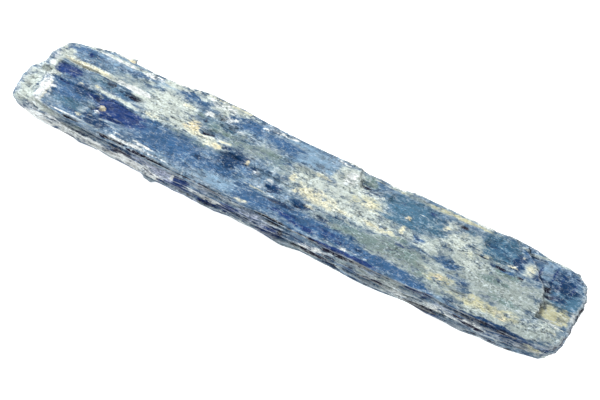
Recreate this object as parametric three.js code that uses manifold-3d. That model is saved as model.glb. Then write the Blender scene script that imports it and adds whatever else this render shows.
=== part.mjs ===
// A single lath-shaped kyanite blade, lying on its flat underside.
//
// Kyanite splits perfectly along one plane, so the blade is a pack of thin parallel laminae that grew as one
// crystal. Each lamina is extruded from its own plan, the laminae are joined into one solid, and the scars that
// broken-off flakes left are cut into the top, the underside and the ends.
//
// Units are millimetres, +X runs along the blade, +Z is up and the origin is the middle of the underside.
import * as THREE from "three";
import { mergeVertices } from "three/addons/utils/BufferGeometryUtils.js";
import Module from "manifold-3d";

const wasm = await Module();
wasm.setup();

// ---- Driving dimensions ---------------------------------------------------------------------------------------

const TOP = 5.6; // height of the main cleavage face
const STATION = 3; // spacing of the outline's points along the blade
const ARRIS = 0.12; // size of the broken arris along each lamina's rim
const KNIT = 0.16; // how deep each lamina is sunk into the one below, so that they grow together
const CLEARANCE = 1; // how far a cutter reaches past the surface that it cuts
const END_REACH = 5; // how far an end's cutter reaches along the blade

// The long edges in plan, as [x, y]. The curve between two points is a smooth ramp.
const REAR_EDGE = [
  [-53, 5.9],
  [-48, 6.7],
  [-45, 7.5],
  [-39, 8.15],
  [-34, 7.8],
  [-26, 7.75],
  [-24, 8.55],
  [-17, 8.85],
  [-12, 8.55],
  [-9, 7.95],
  [4, 8.1],
  [11, 7.8],
  [17, 8.1],
  [24, 8.05],
  [34, 8.35],
  [42, 7.8],
  [45, 7.85],
  [50, 7.4],
];
const FRONT_EDGE = [
  [-53, -6.3],
  [-45, -7.15],
  [-31, -7.65],
  [-21, -8.15],
  [-12, -8.2],
  [0, -8.5],
  [3, -8.25],
  [8, -8.4],
  [17, -8.65],
  [31, -8.4],
  [38, -8.35],
  [50, -7.3],
];

// Each end's plan, as [share of the width from the front edge to the rear edge, setback from the tip].
const RIGHT_END = [
  [0.03, 1.9],
  [0.07, 0.9],
  [0.14, 0.35],
  [0.22, 0.1],
  [0.3, 0.0],
  [0.4, 0.1],
  [0.5, 0.3],
  [0.56, 0.15],
  [0.65, 0.1],
  [0.75, 0.15],
  [0.84, 0.9],
  [0.92, 1.5],
  [0.98, 2.7],
];
const LEFT_END = [
  [0.985, 2.8],
  [0.96, 1.8],
  [0.89, 1.4],
  [0.81, 0.8],
  [0.74, 0.2],
  [0.59, 0.1],
  [0.45, 0.0],
  [0.25, 0.1],
  [0.1, 0.6],
  [0.04, 1.5],
];
// The lower laminae run on past the left end of the upper ones, but only over the front half of the width.
const LEFT_TONGUE = [
  [0.97, 4.6],
  [0.87, 3.3],
  [0.7, 2.7],
  [0.64, 1.6],
  [0.56, 0.7],
  [0.47, 0.15],
  [0.3, 0.0],
  [0.14, 0.05],
  [0.05, 0.35],
  [0.01, 1.2],
];

// The laminae from the bottom up. front and rear say how far an edge is set in from the blade's widest plan, and a
// negative value stands proud of it. phase makes the ripple of one lamina's rim differ from the next.
const LAMINAE = [
  { from: 0, to: 0.95, left: -51.7, right: 47.3, front: 0.6, rear: 0.7, leftEnd: LEFT_TONGUE, phase: 0.4 },
  { from: 0.95, to: 2.0, left: -52.2, right: 48.1, front: 0.05, rear: 0.3, leftEnd: LEFT_TONGUE, phase: 2.1 },
  { from: 2.0, to: 3.1, left: -52.3, right: 48.7, front: 0.2, rear: -0.1, leftEnd: LEFT_TONGUE, phase: 3.9 },
  { from: 3.1, to: 3.6, left: -52.0, right: 48.9, front: 0.3, rear: -0.2, leftEnd: LEFT_TONGUE, phase: 5.2 },
  { from: 3.6, to: 4.3, left: -49.9, right: 49.0, front: 0.25, rear: -0.25, leftEnd: LEFT_END, phase: 0.9 },
  { from: 4.3, to: 4.9, left: -49.8, right: 49.1, front: 0.4, rear: -0.1, leftEnd: LEFT_END, phase: 4.4 },
  { from: 4.9, to: TOP, left: -49.6, right: 49.2, front: 0.6, rear: 0.1, leftEnd: LEFT_END, phase: 1.7 },
];

// Scars in the top face, where a flake has come away down to a lower lamina. Each outline is a closed plan.
const TOP_SCARS = [
  {
    name: "blue step at the right end",
    depth: 0.62,
    plan: [[36.8, 9], [37.2, 7.0], [39.2, 5.7], [40.4, 4.2], [41.6, 3.0], [42.4, 1.8], [43.1, 0.2], [51, 0.3], [51, 9]],
  },
  {
    name: "square pocket beside it",
    depth: 0.95,
    plan: [[43.2, -3.1], [43.1, -0.2], [43.3, 0.6], [51, 0.6], [51, -3.0]],
  },
  {
    name: "hollow behind the curved lip",
    depth: 0.5,
    plan: [[7.0, 9], [6.7, 6.8], [7.4, 5.9], [7.5, 5.0], [8.4, 4.6], [10.6, 5.0], [12.4, 6.2], [14.5, 7.0], [15, 9]],
  },
  {
    name: "trough in the left end",
    depth: 0.28,
    plan: [[-47.4, 0.7], [-47.2, 3.1], [-42, 3.2], [-36, 2.8], [-31, 1.9], [-33, 1.1], [-38, 0.6], [-43, 0.4]],
  },
  {
    name: "deep blue window",
    depth: 0.22,
    plan: [[-46.2, -0.6], [-38, -0.4], [-30, -0.7], [-24, -0.2], [-18, -1.0], [-20, -3.4], [-29, -3.0], [-36, -4.6],
      [-46, -4.4]],
  },
  {
    name: "flake scar ahead of the middle",
    depth: 0.2,
    plan: [[-14.5, 0.3], [-8, -0.2], [-1.6, -0.7], [-1.3, -3.2], [3.5, -3.0], [9, -4.2], [16, -5.0], [8, -6.0],
      [-6, -6.3], [-14, -4.6]],
  },
  {
    name: "rear window",
    depth: 0.24,
    plan: [[13.4, 2.1], [13.2, 6.3], [22.2, 6.6], [22.6, 4.4], [24.6, 3.4], [24.0, 2.2]],
  },
  {
    name: "dark rear window",
    depth: 0.26,
    plan: [[30.3, 4.6], [30.6, 7.0], [31, 9], [36, 9], [36.4, 6.4], [37.2, 5.0], [36.6, 2.4], [33.4, 3.4]],
  },
  {
    name: "long sliver beside the front rim",
    depth: 0.34,
    plan: [[33, -8.1], [35, -7.8], [44, -7.3], [45.6, -6.6], [52, -6.4], [52, -9.6], [33, -9.6]],
  },
];

// Scars in the underside. They are shallow, and the face between them carries the blade.
const UNDER_SCARS = [
  { name: "left flake scar", depth: 0.5, plan: [[-52, 1.8], [-44, 2.6], [-33, 4.4], [-31, 9], [-52, 9]] },
  { name: "right flake scar", depth: 0.95, plan: [[33, -9.5], [35.5, -6.2], [40, -5.0], [50, -3.8], [50, -9.5]] },
  { name: "middle sliver", depth: 0.22, plan: [[-16, -3.6], [-9, -2.7], [6, -3.1], [13, -4.2], [3, -5.0], [-10, -4.9]] },
];

// The break that slopes the left end of the upper laminae, ahead of the rear corner. x and from place its lower
// edge, tilt is its lean from upright in degrees, and front and rear are the lines that it runs between.
const LEFT_BREAK = { x: -49.6, tilt: 50, from: 3.6, front: -9, rear: 0.5 };

// ---- Helpers --------------------------------------------------------------------------------------------------

// The height y of an edge at x, ramping smoothly from each point to the next.
function edgeAt(edge, x) {
  const next = Math.max(1, edge.findIndex(([px]) => px >= x));
  const [x0, y0] = edge[next - 1];
  const [x1, y1] = edge[next];
  return THREE.MathUtils.lerp(y0, y1, THREE.MathUtils.smoothstep(x, x0, x1));
}

// The slow waviness of a lamina's rim.
function ripple(x, phase) {
  return 0.13 * Math.sin(0.43 * x + 2 * phase) + 0.09 * Math.sin(1.13 * x + 5 * phase);
}

function solidOf(geometry) {
  const bare = geometry.clone();
  bare.deleteAttribute("normal");
  bare.deleteAttribute("uv");
  const merged = mergeVertices(bare, 1e-4);
  const mesh = new wasm.Mesh({
    numProp: 3,
    vertProperties: new Float32Array(merged.attributes.position.array),
    triVerts: new Uint32Array(merged.index.array),
  });
  return new wasm.Manifold(mesh);
}

function geometryOf(solid) {
  const mesh = solid.getMesh();
  const geometry = new THREE.BufferGeometry();
  geometry.setAttribute("position", new THREE.BufferAttribute(mesh.vertProperties, 3));
  geometry.setIndex(new THREE.BufferAttribute(mesh.triVerts, 1));
  return geometry;
}

// ---- The laminae ----------------------------------------------------------------------------------------------

function laminaPlan({ left, right, front, rear, leftEnd, phase }) {
  const frontAt = (x) => edgeAt(FRONT_EDGE, x) + front + ripple(x, phase);
  const rearAt = (x) => edgeAt(REAR_EDGE, x) - rear + ripple(x, phase + 1);
  const endPoint = (tip, inwards) => ([share, setback]) => {
    const x = tip + inwards * setback;
    return new THREE.Vector2(x, THREE.MathUtils.lerp(frontAt(x), rearAt(x), share));
  };
  const rightPoints = RIGHT_END.map(endPoint(right, -1));
  const leftPoints = leftEnd.map(endPoint(left, 1));
  const points = [];
  for (let x = left + 4.5; x < right - 3; x += STATION) points.push(new THREE.Vector2(x, frontAt(x)));
  points.push(...rightPoints);
  for (let x = right - 5; x > left + 6; x -= STATION) points.push(new THREE.Vector2(x, rearAt(x)));
  points.push(...leftPoints);
  return new THREE.Shape(points);
}

function makeLamina(lamina) {
  const bottom = lamina.from === 0 ? 0 : lamina.from - KNIT;
  const geometry = new THREE.ExtrudeGeometry(laminaPlan(lamina), {
    depth: lamina.to - bottom - 2 * ARRIS,
    bevelThickness: ARRIS,
    bevelSize: ARRIS,
    bevelOffset: -ARRIS,
    bevelSegments: 1,
  });
  geometry.translate(0, 0, bottom + ARRIS);
  return solidOf(geometry);
}

// ---- The cutters ----------------------------------------------------------------------------------------------

function makeScarCutter({ depth, plan }, faceHeight, outwards) {
  const shape = new THREE.Shape(plan.map(([x, y]) => new THREE.Vector2(x, y)));
  const geometry = new THREE.ExtrudeGeometry(shape, { depth: depth + CLEARANCE, bevelEnabled: false });
  geometry.translate(0, 0, outwards > 0 ? faceHeight - depth : faceHeight - CLEARANCE);
  return solidOf(geometry);
}

// A wedge-ended bar, whose sloping face is the break and whose floor is level with the break's lower edge.
function makeBreakCutter({ x, tilt, from, front, rear }) {
  const slope = Math.tan(THREE.MathUtils.degToRad(tilt));
  const top = TOP + CLEARANCE;
  const profile = new THREE.Shape([
    new THREE.Vector2(x, from),
    new THREE.Vector2(x + (top - from) * slope, top),
    new THREE.Vector2(x - END_REACH, top),
    new THREE.Vector2(x - END_REACH, from),
  ]);
  const geometry = new THREE.ExtrudeGeometry(profile, { depth: rear - front, bevelEnabled: false });
  geometry.rotateX(Math.PI / 2);
  geometry.translate(0, rear, 0);
  return solidOf(geometry);
}

// ---- The blade ------------------------------------------------------------------------------------------------

function makeBlade() {
  let solid = LAMINAE.map(makeLamina).reduce((joined, lamina) => joined.add(lamina));
  for (const scar of TOP_SCARS) solid = solid.subtract(makeScarCutter(scar, TOP, 1));
  for (const scar of UNDER_SCARS) solid = solid.subtract(makeScarCutter(scar, 0, -1));
  solid = solid.subtract(makeBreakCutter(LEFT_BREAK));
  const geometry = geometryOf(solid);
  geometry.computeBoundingBox();
  const middle = geometry.boundingBox.getCenter(new THREE.Vector3());
  geometry.translate(-middle.x, -middle.y, -geometry.boundingBox.min.z);
  const kyanite = new THREE.MeshStandardMaterial({ color: 0x5b7898, roughness: 0.5, metalness: 0 });
  const blade = new THREE.Mesh(geometry, kyanite);
  blade.name = "kyanite_blade";
  return blade;
}

const group = new THREE.Group();
group.add(makeBlade());

export default group;
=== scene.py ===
# %% [markdown]
# # A raw kyanite blade
#
# Kyanite is a blue mineral that grows as long, flat blades. It splits along one direction like the pages of
# a book, so a raw blade is a pack of thin leaves, or laminae, with stepped faces, splintery sides and
# broken ends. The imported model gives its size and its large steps. This lesson gives it the surface: the
# small steps, fibres, crevices and grains as real geometry, and a finish that runs from navy to steel blue,
# grey-green and cream.
#
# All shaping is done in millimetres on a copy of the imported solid, which is scaled to metres at the end.

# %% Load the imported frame
import math

import bmesh
import bpy
import numpy as np
from mathutils import Matrix, Vector


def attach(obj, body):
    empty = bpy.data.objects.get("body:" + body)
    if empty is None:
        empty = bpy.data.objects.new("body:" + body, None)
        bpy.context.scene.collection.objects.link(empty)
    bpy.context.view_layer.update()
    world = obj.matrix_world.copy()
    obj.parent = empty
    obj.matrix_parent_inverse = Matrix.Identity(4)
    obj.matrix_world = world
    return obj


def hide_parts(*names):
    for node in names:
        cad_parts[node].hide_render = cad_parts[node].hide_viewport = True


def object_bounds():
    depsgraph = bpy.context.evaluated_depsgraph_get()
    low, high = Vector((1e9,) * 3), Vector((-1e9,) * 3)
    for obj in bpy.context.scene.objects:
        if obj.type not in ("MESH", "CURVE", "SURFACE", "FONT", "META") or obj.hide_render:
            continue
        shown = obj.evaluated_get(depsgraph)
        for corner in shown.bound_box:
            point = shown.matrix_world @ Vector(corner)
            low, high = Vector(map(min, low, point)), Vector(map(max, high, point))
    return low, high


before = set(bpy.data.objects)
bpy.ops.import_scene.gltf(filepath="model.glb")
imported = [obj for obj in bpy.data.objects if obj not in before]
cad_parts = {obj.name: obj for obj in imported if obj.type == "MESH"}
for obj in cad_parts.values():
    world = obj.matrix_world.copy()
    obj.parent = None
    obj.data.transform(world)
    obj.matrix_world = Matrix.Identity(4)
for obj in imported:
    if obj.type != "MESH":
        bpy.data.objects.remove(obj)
cad_low, cad_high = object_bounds()
MM = 0.001  # one millimetre in metres, the unit of the frame
NODE = "kyanite_blade"
size_mm = (cad_high - cad_low) / MM
TOP = size_mm.z
print(f"packed blade: {size_mm.x:.1f} x {size_mm.y:.1f} x {size_mm.z:.1f} mm")

# %% [markdown]
# ## The camera
#
# A blade like this is usually shown lying down, seen from above and a little from one side, so that the
# broad face and one stepped side both show. A long lens from about half a metre keeps its two long edges
# nearly parallel.

# %% Place the camera
VIEW_AZIMUTH, VIEW_ELEVATION = math.radians(28.72), math.radians(60)
VIEW_DISTANCE = 0.45
VIEW_LENS = 166.05
AIM = Vector((1.3, -1.0, 2.7)) * MM

away = Vector((
    math.sin(VIEW_AZIMUTH) * math.cos(VIEW_ELEVATION),
    -math.cos(VIEW_AZIMUTH) * math.cos(VIEW_ELEVATION),
    math.sin(VIEW_ELEVATION),
))
camera = bpy.data.objects.new("camera", bpy.data.cameras.new("camera"))
bpy.context.scene.collection.objects.link(camera)
camera.data.lens = VIEW_LENS
camera.data.clip_start = 0.01
camera.location = AIM + away * VIEW_DISTANCE
camera.rotation_euler = (-away).to_track_quat("-Z", "Y").to_euler()
bpy.context.scene.camera = camera
print("camera at", [round(c, 3) for c in camera.location])

# %% [markdown]
# ## Seeded noise
#
# Stone needs randomness that is the same each time. Each corner of a regular lattice gets a number from a
# small hash of its place, and a point between the corners gets a smooth blend of the eight around it.
# Dividing a point by a different length on each axis stretches the noise, which is how all the fibres of
# this mineral are drawn.

# %% Write the noise
def corner_value(i, j, k, seed):
    """A repeatable number from -1 to 1 for each corner of the lattice."""
    h = (i * 374761393 + j * 668265263 + k * 1440662683 + seed * 974634777) & 0xFFFFFFFF
    h = ((h ^ (h >> 13)) * 1274126177) & 0xFFFFFFFF
    h = ((h ^ (h >> 15)) * 2246822519) & 0xFFFFFFFF
    return ((h ^ (h >> 16)) & 0xFFFF) / 32767.5 - 1


def noise(seed, x, y, z=0.0):
    """Smooth noise from about -1 to 1, one lattice cell to a unit."""
    x, y, z = np.broadcast_arrays(x, y, z)
    cells = [np.floor(c).astype(np.int64) for c in (x, y, z)]
    shares = [c - cell for c, cell in zip((x, y, z), cells)]
    u, v, w = (s * s * (3 - 2 * s) for s in shares)
    total = 0.0
    for di, wi in ((0, 1 - u), (1, u)):
        for dj, wj in ((0, 1 - v), (1, v)):
            for dk, wk in ((0, 1 - w), (1, w)):
                total = total + wi * wj * wk * corner_value(cells[0] + di, cells[1] + dj, cells[2] + dk, seed)
    return total


def ramp(low, high, value):
    """A smooth step from 0 at low to 1 at high."""
    t = np.clip((value - low) / (high - low), 0, 1)
    return t * t * (3 - 2 * t)


def shards(seed, x, y):
    """Irregular cells like broken scales: a number from -1 to 1 for each, one cell to a unit."""
    column, row = np.floor(x).astype(np.int64), np.floor(y).astype(np.int64)
    nearest = np.full(x.shape, np.inf)
    value = np.zeros(x.shape)
    for di in (-1, 0, 1):
        for dj in (-1, 0, 1):
            i, j = column + di, row + dj
            centre_x = i + 0.5 + 0.45 * corner_value(i, j, 0, seed)
            centre_y = j + 0.5 + 0.45 * corner_value(i, j, 1, seed)
            distance = abs(x - centre_x) ** 1.5 + abs(y - centre_y) ** 1.5
            closer = distance < nearest
            nearest = np.where(closer, distance, nearest)
            value = np.where(closer, corner_value(i, j, 2, seed), value)
    return value


sample = noise(1, np.linspace(0, 40, 4001), 0.3)
print(f"noise runs from {sample.min():.2f} to {sample.max():.2f}, mean {sample.mean():.2f}")

# %% [markdown]
# ## The rough shape
#
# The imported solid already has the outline, the main laminae and the large flake scars. Grains, loose flakes
# and splinters are added to the copy as simple closed shapes that sink into it. The voxel remesh in the
# next step melts them all into one skin.

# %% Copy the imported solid
rough = bmesh.new()
rough.from_mesh(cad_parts[NODE].data)
bmesh.ops.remove_doubles(rough, verts=rough.verts, dist=1e-7)
bmesh.ops.scale(rough, vec=(1 / MM,) * 3, verts=rough.verts)
print(f"copied {len(rough.verts)} vertices, {len(rough.faces)} faces")

# %% Add grains, flakes and splinters
GRAIN_TURN = 0.6  # each grain is turned by its place times this, so that no two look alike


def add_grain(x, y, z, length, width, height):
    """A rounded crumb of another mineral or of crushed kyanite, sunk halfway into the face."""
    made = bmesh.ops.create_icosphere(rough, subdivisions=2, radius=0.5)["verts"]
    bmesh.ops.scale(rough, vec=(length, width, height), verts=made)
    bmesh.ops.rotate(rough, cent=(0, 0, 0), matrix=Matrix.Rotation(GRAIN_TURN * x, 3, "Z"), verts=made)
    bmesh.ops.translate(rough, vec=(x, y, z), verts=made)


def add_flake(x, y, z, length, width, height, turn):
    """A thin leaf that still clings to the face, with a worn rim."""
    made = bmesh.ops.create_cube(rough, size=1)["verts"]
    faces = {face for vert in made for face in vert.link_faces}
    edges = [edge for face in faces for edge in face.edges]
    upright = [edge for edge in edges if abs(edge.verts[0].co.z - edge.verts[1].co.z) > 0.5]
    made = bmesh.ops.bevel(
        rough, geom=list(set(upright)), offset=0.3, offset_type="OFFSET", segments=3, profile=0.5,
        affect="EDGES", material=-1,
    )["verts"]
    leaf = set(made)
    for face in {face for vert in made for face in vert.link_faces}:
        leaf.update(face.verts)
    leaf = list(leaf)
    bmesh.ops.scale(rough, vec=(length, width, height), verts=leaf)
    bmesh.ops.rotate(rough, cent=(0, 0, 0), matrix=Matrix.Rotation(math.radians(turn), 3, "Z"), verts=leaf)
    bmesh.ops.translate(rough, vec=(x, y, z), verts=leaf)


def add_splinter(x, y, z, length, thickness, pitch):
    """A five-sided needle along the blade, thinning towards its free end."""
    made = bmesh.ops.create_cone(
        rough, cap_ends=True, segments=5, radius1=thickness / 2, radius2=thickness / 8, depth=length,
    )["verts"]
    lie = Matrix.Rotation(math.radians(90 + pitch), 3, "Y")
    bmesh.ops.rotate(rough, cent=(0, 0, 0), matrix=lie, verts=made)
    bmesh.ops.translate(rough, vec=(x, y, z), verts=made)


GRAINS = [  # x, y, z, length, width, height
    (-35.1, -2.6, 5.45, 1.3, 0.9, 0.8),
    (-20.4, 1.6, 5.55, 2.3, 1.2, 0.5),
    (-35.3, 7.7, 5.1, 2.0, 0.8, 0.7),
    (-9.2, -0.4, 5.5, 0.9, 1.1, 0.5),
    (-15.0, 0.4, 5.55, 3.0, 1.3, 0.5),
    (18.9, 2.9, 5.4, 0.9, 0.6, 0.45),
    (15.8, 3.8, 5.4, 0.9, 0.6, 0.4),
    (27.4, -4.1, 5.55, 1.0, 0.7, 0.4),
    (40.0, -6.1, 5.55, 1.2, 0.6, 0.4),
    (-39.0, 7.2, 5.5, 1.6, 0.5, 0.4),
    (-30.3, 7.1, 5.5, 1.5, 0.5, 0.4),
]
FLAKES = [  # x, y, z, length, width, height, turn in degrees
    (-12.4, -5.9, 5.5, 7.2, 1.9, 0.36, -8),
    (3.5, 5.6, 5.55, 6.6, 2.0, 0.3, 3),
    (-28.0, 6.9, 5.5, 9.0, 1.2, 0.3, 2),
    (-37.5, 3.5, 5.55, 17.0, 0.7, 0.34, -1),
    (26.0, 7.4, 5.45, 13.0, 0.6, 0.36, 1),
    (33.0, 0.0, 5.55, 12.0, 2.0, 0.26, -2),
    (31.0, -5.7, 5.55, 16.0, 1.6, 0.3, 1),
    (2.0, -7.4, 5.45, 12.0, 0.7, 0.3, 0),
    (-26.0, 1.9, 5.55, 7.0, 2.6, 0.26, -14),
    (-23.0, -8.05, 1.0, 2.6, 1.2, 0.5, -6),
    (-12.0, -8.5, 1.9, 3.4, 0.8, 0.4, 3),
]
for grain in GRAINS:
    add_grain(*grain)
for flake in FLAKES:
    add_flake(*flake)

SPLINTER_SEED = 7
draw = np.random.default_rng(SPLINTER_SEED)
SPLINTERS_PER_SIDE = 30
for side in (-1, 1):
    for _ in range(SPLINTERS_PER_SIDE):
        add_splinter(
            x=draw.uniform(-37, 37), y=side * draw.uniform(7.5, 7.9), z=draw.uniform(0.6, 4.2),
            length=draw.uniform(3, 12), thickness=draw.uniform(0.35, 0.7), pitch=draw.uniform(-1.5, 1.5),
        )
print(f"rough shape: {len(GRAINS)} grains, {len(FLAKES)} flakes, {2 * SPLINTERS_PER_SIDE} splinters")

# %% [markdown]
# ## One even skin
#
# A voxel remesh joins everything and gives an even net to sculpt on. The detail of a fibrous stone is long
# and narrow, so the shape is squeezed to about a third of its length first and stretched back afterwards.
# The cells come out three times longer than wide, which spends the triangles across the fibres, where they
# count.

# %% Squeeze, remesh and stretch back
SQUEEZE = 0.36
CELL = 0.14  # width of a cell in millimetres

squeezed = bpy.data.meshes.new("rough")
bmesh.ops.scale(rough, vec=(SQUEEZE, 1, 1), verts=rough.verts)
rough.to_mesh(squeezed)
rough.free()
carrier = bpy.data.objects.new("rough", squeezed)
bpy.context.scene.collection.objects.link(carrier)
remesh = carrier.modifiers.new("skin", "REMESH")
remesh.mode = "VOXEL"
remesh.voxel_size = CELL
bpy.context.view_layer.update()
skin = bpy.data.meshes.new_from_object(carrier.evaluated_get(bpy.context.evaluated_depsgraph_get()))
bpy.data.objects.remove(carrier)
skin.transform(Matrix.Diagonal((1 / SQUEEZE, 1, 1, 1)))
skin.name = NODE
print(f"skin: {len(skin.vertices)} vertices, {2 * len(skin.polygons)} triangles")

# %% [markdown]
# ## Sculpting in code
#
# Three moves shape the skin, each a formula of a vertex's place. The broad faces move up and down, the long
# sides move in and out, and the broken ends move along the blade. A move fades out before it reaches the
# neighbouring faces, so the skin never folds over itself.

# %% Read the skin
def read_points(mesh):
    points = np.empty(len(mesh.vertices) * 3)
    mesh.vertices.foreach_get("co", points)
    return points.reshape(-1, 3)


points = read_points(skin)
x, y, z = points.T.copy()
half_length = size_mm.x / 2
print(f"sculpting {len(points)} points")

# %% [markdown]
# ## Frayed steps
#
# Where a leaf of kyanite breaks across, its fibres end one after another, so the edge is ragged in needles.
# Sliding every point along the blade by an amount that changes quickly from one fibre to the next frays
# each step at once.

# %% Fray every step along the fibres
FRAY = 0.5  # how far a fibre end may slide, in millimetres
FRAY_AT_ENDS = 0.15

at_ends = ramp(half_length - 7, half_length - 3, abs(x))
slide = 0.65 * noise(11, x / 7, y / 0.5, z / 0.7) + 0.35 * noise(12, x / 3, y / 0.26, z / 0.4)
x += (FRAY + (FRAY_AT_ENDS - FRAY) * at_ends) * slide
y += 0.1 * noise(13, x / 5, y / 1.4) + 0.16 * noise(14, x / 13, 0.5)
print(f"fibres slide by up to {FRAY * abs(slide).max():.2f} mm")

# %% [markdown]
# ## Small terraces
#
# The broad face is never one plane. Leaves a tenth to a fifth of a millimetre thick have come away here and
# there and left long, narrow terraces. Each terrace is a stretched noise cut at one level: inside the cut
# the face is a little higher or lower, and the cut's edge is a steep little step.

# %% Cut terraces into both broad faces
TERRACES = [  # seed, length, width, height
    (21, 26, 3.4, 0.12),
    (22, 17, 2.3, -0.10),
    (23, 11, 1.6, 0.08),
    (24, 6, 1.1, -0.07),
    (25, 20, 0.9, 0.05),
    (26, 3, 0.8, 0.05),
]
CUT_LEVEL, CUT_SOFTNESS = 0.16, 0.05


def terraced(offset):
    """The height of the broad face over its plane. The offset picks a different stretch of the noise."""
    height = 0.0
    for seed, length, width, step in TERRACES:
        shape = noise(seed, (x + offset) / length, y / width)
        shape = shape + 0.3 * noise(seed + 50, x / (0.3 * length), (y + offset) / (0.35 * width))
        height = height + step * ramp(CUT_LEVEL - CUT_SOFTNESS, CUT_LEVEL + CUT_SOFTNESS, shape)
    return height


fibres = 0.02 * noise(31, x / 6, y / 0.5) + 0.012 * noise(32, x / 2.5, y / 0.32)
swell = 0.12 * noise(33, x / 22, y / 6)
top_relief = terraced(0) + fibres + swell
under_relief = abs(terraced(400) + fibres) * 0.8
top_share = ramp(1.5, 4.4, z)
under_share = 1 - ramp(0.0, 1.6, z)
print(f"top relief {top_relief.min():.2f} to {top_relief.max():.2f} mm")

# %% [markdown]
# ## Granular patches, pits and cracks
#
# Where the fibres are crushed the face turns granular, with crumbs, broken scales and small pits. A patch
# is a soft box with a ragged rim, and each list of patches below is given in millimetres. The lists
# are laid out as on a paper pattern: the front side is folded out flat along the front edge, drawn to half
# its height, so that one pattern covers everything that shows from the front.

# %% Place soft patches on a pattern
DATUM_X, DATUM_Y = 1.77, -0.3  # where the pattern's zero lies on the blade
FOLD_X, FOLD_Y = 0.277, 0.506  # how far the pattern shifts for each millimetre below the top face
SOLID, FADED = 0.1, 1.9  # a mark starts to fade at this share of its half size, and is gone at that
CORNER = 2.5  # the power of a mark's outline: 2 gives an ellipse, and more a squarer box

pattern_x = x - DATUM_X + FOLD_X * (TOP - z)
pattern_y = y - DATUM_Y - FOLD_Y * (TOP - z)
rag_x = 0.9 * noise(41, x / 2.2, y / 0.5, z / 0.6) + 0.6 * noise(42, x / 0.8, y / 0.35, z / 0.4)
rag_y = 0.3 * noise(43, x / 1.8, y / 0.9, z / 0.8) + 0.2 * noise(44, x / 0.7, y / 0.4, z / 0.4)
rag_y += 0.35 * noise(47, x / 5, y / 2.5, z / 2.5)


def patches(marks, ragged=1.0):
    """The strongest of the soft boxes at each point. A mark is x, y, half length, half width and amount.

    A small mark has a less ragged rim than a large one, or it would fall to pieces.
    """
    field = np.zeros(len(x))
    for mark_x, mark_y, mark_length, mark_width, amount in marks:
        share_x, share_y = ragged * min(1.0, 0.3 * mark_length), ragged * min(1.0, 0.15 + 0.8 * mark_width)
        u = (pattern_x + share_x * rag_x - mark_x) / mark_length
        v = (pattern_y + share_y * rag_y - mark_y) / mark_width
        outward = (abs(u) ** CORNER + abs(v) ** CORNER) ** (1 / CORNER)
        field = np.maximum(field, amount * (1 - ramp(SOLID, FADED, outward)))
    return field


GRANULAR = [
    (-17.5, 4.0, 5.0, 3.0, 1.0), (-16.5, 0.4, 2.6, 1.4, 0.9), (-21.6, 1.6, 1.4, 0.8, 1.0),
    (-37.5, -3.6, 2.6, 2.2, 0.8), (-5.5, -1.8, 3.2, 1.6, 0.8), (-4.0, 2.2, 8.0, 2.0, 0.4),
    (1.0, -0.6, 4.0, 2.0, 0.7), (11.0, 2.5, 4.0, 2.4, 0.6), (26.0, 4.0, 4.2, 2.4, 0.7),
    (34.0, 0.0, 9.0, 3.4, 0.55), (38.5, 3.8, 2.4, 1.8, 0.7), (25.5, -4.0, 3.0, 1.0, 0.7),
    (-42.0, 0.8, 3.0, 1.2, 0.6), (38.0, -5.9, 9.0, 1.4, 0.5), (-50.0, -4.5, 1.6, 3.6, 0.6),
    (-36.0, -8.2, 3.5, 0.7, 0.6), (12.0, -0.5, 7.0, 1.4, 0.5),
]
PITS = [
    (-18.7, 1.7, 1.2, 0.45, 0.4), (-18.0, 5.4, 0.5, 0.5, 0.35), (-16.0, 4.4, 1.4, 0.4, 0.3),
    (-37.9, -1.4, 0.5, 0.4, 0.3), (-38.0, -3.7, 0.4, 0.6, 0.35), (-36.0, -5.0, 2.2, 0.4, 0.2),
    (-33.2, 1.6, 1.9, 0.5, 0.25), (43.1, 1.8, 0.9, 0.8, 0.4), (35.2, 2.0, 1.2, 0.35, 0.3),
    (38.6, 2.2, 0.7, 0.3, 0.25), (0.4, -3.1, 1.5, 0.5, 0.25), (4.9, -3.7, 0.9, 0.4, 0.25),
    (-4.8, -2.4, 1.3, 0.7, 0.25), (-0.4, 2.6, 1.5, 0.6, 0.2), (25.6, 6.0, 1.0, 0.35, 0.25),
    (32.6, 2.9, 1.3, 0.3, 0.25), (20.2, 0.6, 0.7, 0.4, 0.2), (36.0, -0.4, 1.1, 0.4, 0.2),
    (9.0, 5.5, 1.2, 0.5, 0.2), (-12.8, -0.4, 1.5, 0.5, 0.2),
]
CRACKS = [  # thin clefts along the front rim, and one behind the tan grain
    (-40.1, -6.65, 1.5, 0.14, 1.0), (-31.5, -7.0, 3.2, 0.12, 0.9), (-23.5, -7.25, 5.2, 0.14, 1.0),
    (-13.0, -7.35, 5.6, 0.12, 0.8), (-3.5, -7.6, 4.0, 0.1, 0.7), (-24.4, 1.5, 1.4, 0.16, 0.6),
    (-40.0, 3.1, 4.6, 0.12, 0.4), (28.5, -5.0, 5.0, 0.12, 0.5),
]
CRACK_DEPTH = 0.55
SCALE_HEIGHT = 0.1

granular = patches(GRANULAR)
crumbs = 0.16 * noise(45, x / 0.9, y / 0.55) + 0.11 * noise(46, x / 0.5, y / 0.35)
bent_x, bent_y = x + 0.5 * noise(63, x / 2, y / 0.7), y + 0.2 * noise(64, x / 1.6, y / 0.8)
scales = 0.6 * shards(65, bent_x / 4.2, bent_y / 1.15 + 0.06 * bent_x)
scales = scales + 0.4 * shards(66, bent_x / 1.8, bent_y / 0.6)
scale_relief = SCALE_HEIGHT * (0.6 + granular) * scales
top_relief = top_relief + granular * crumbs + scale_relief
top_relief = top_relief - patches(PITS) - CRACK_DEPTH * patches(CRACKS, ragged=0.3)
print(f"{(granular > 0.3).sum()} points are granular")

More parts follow.
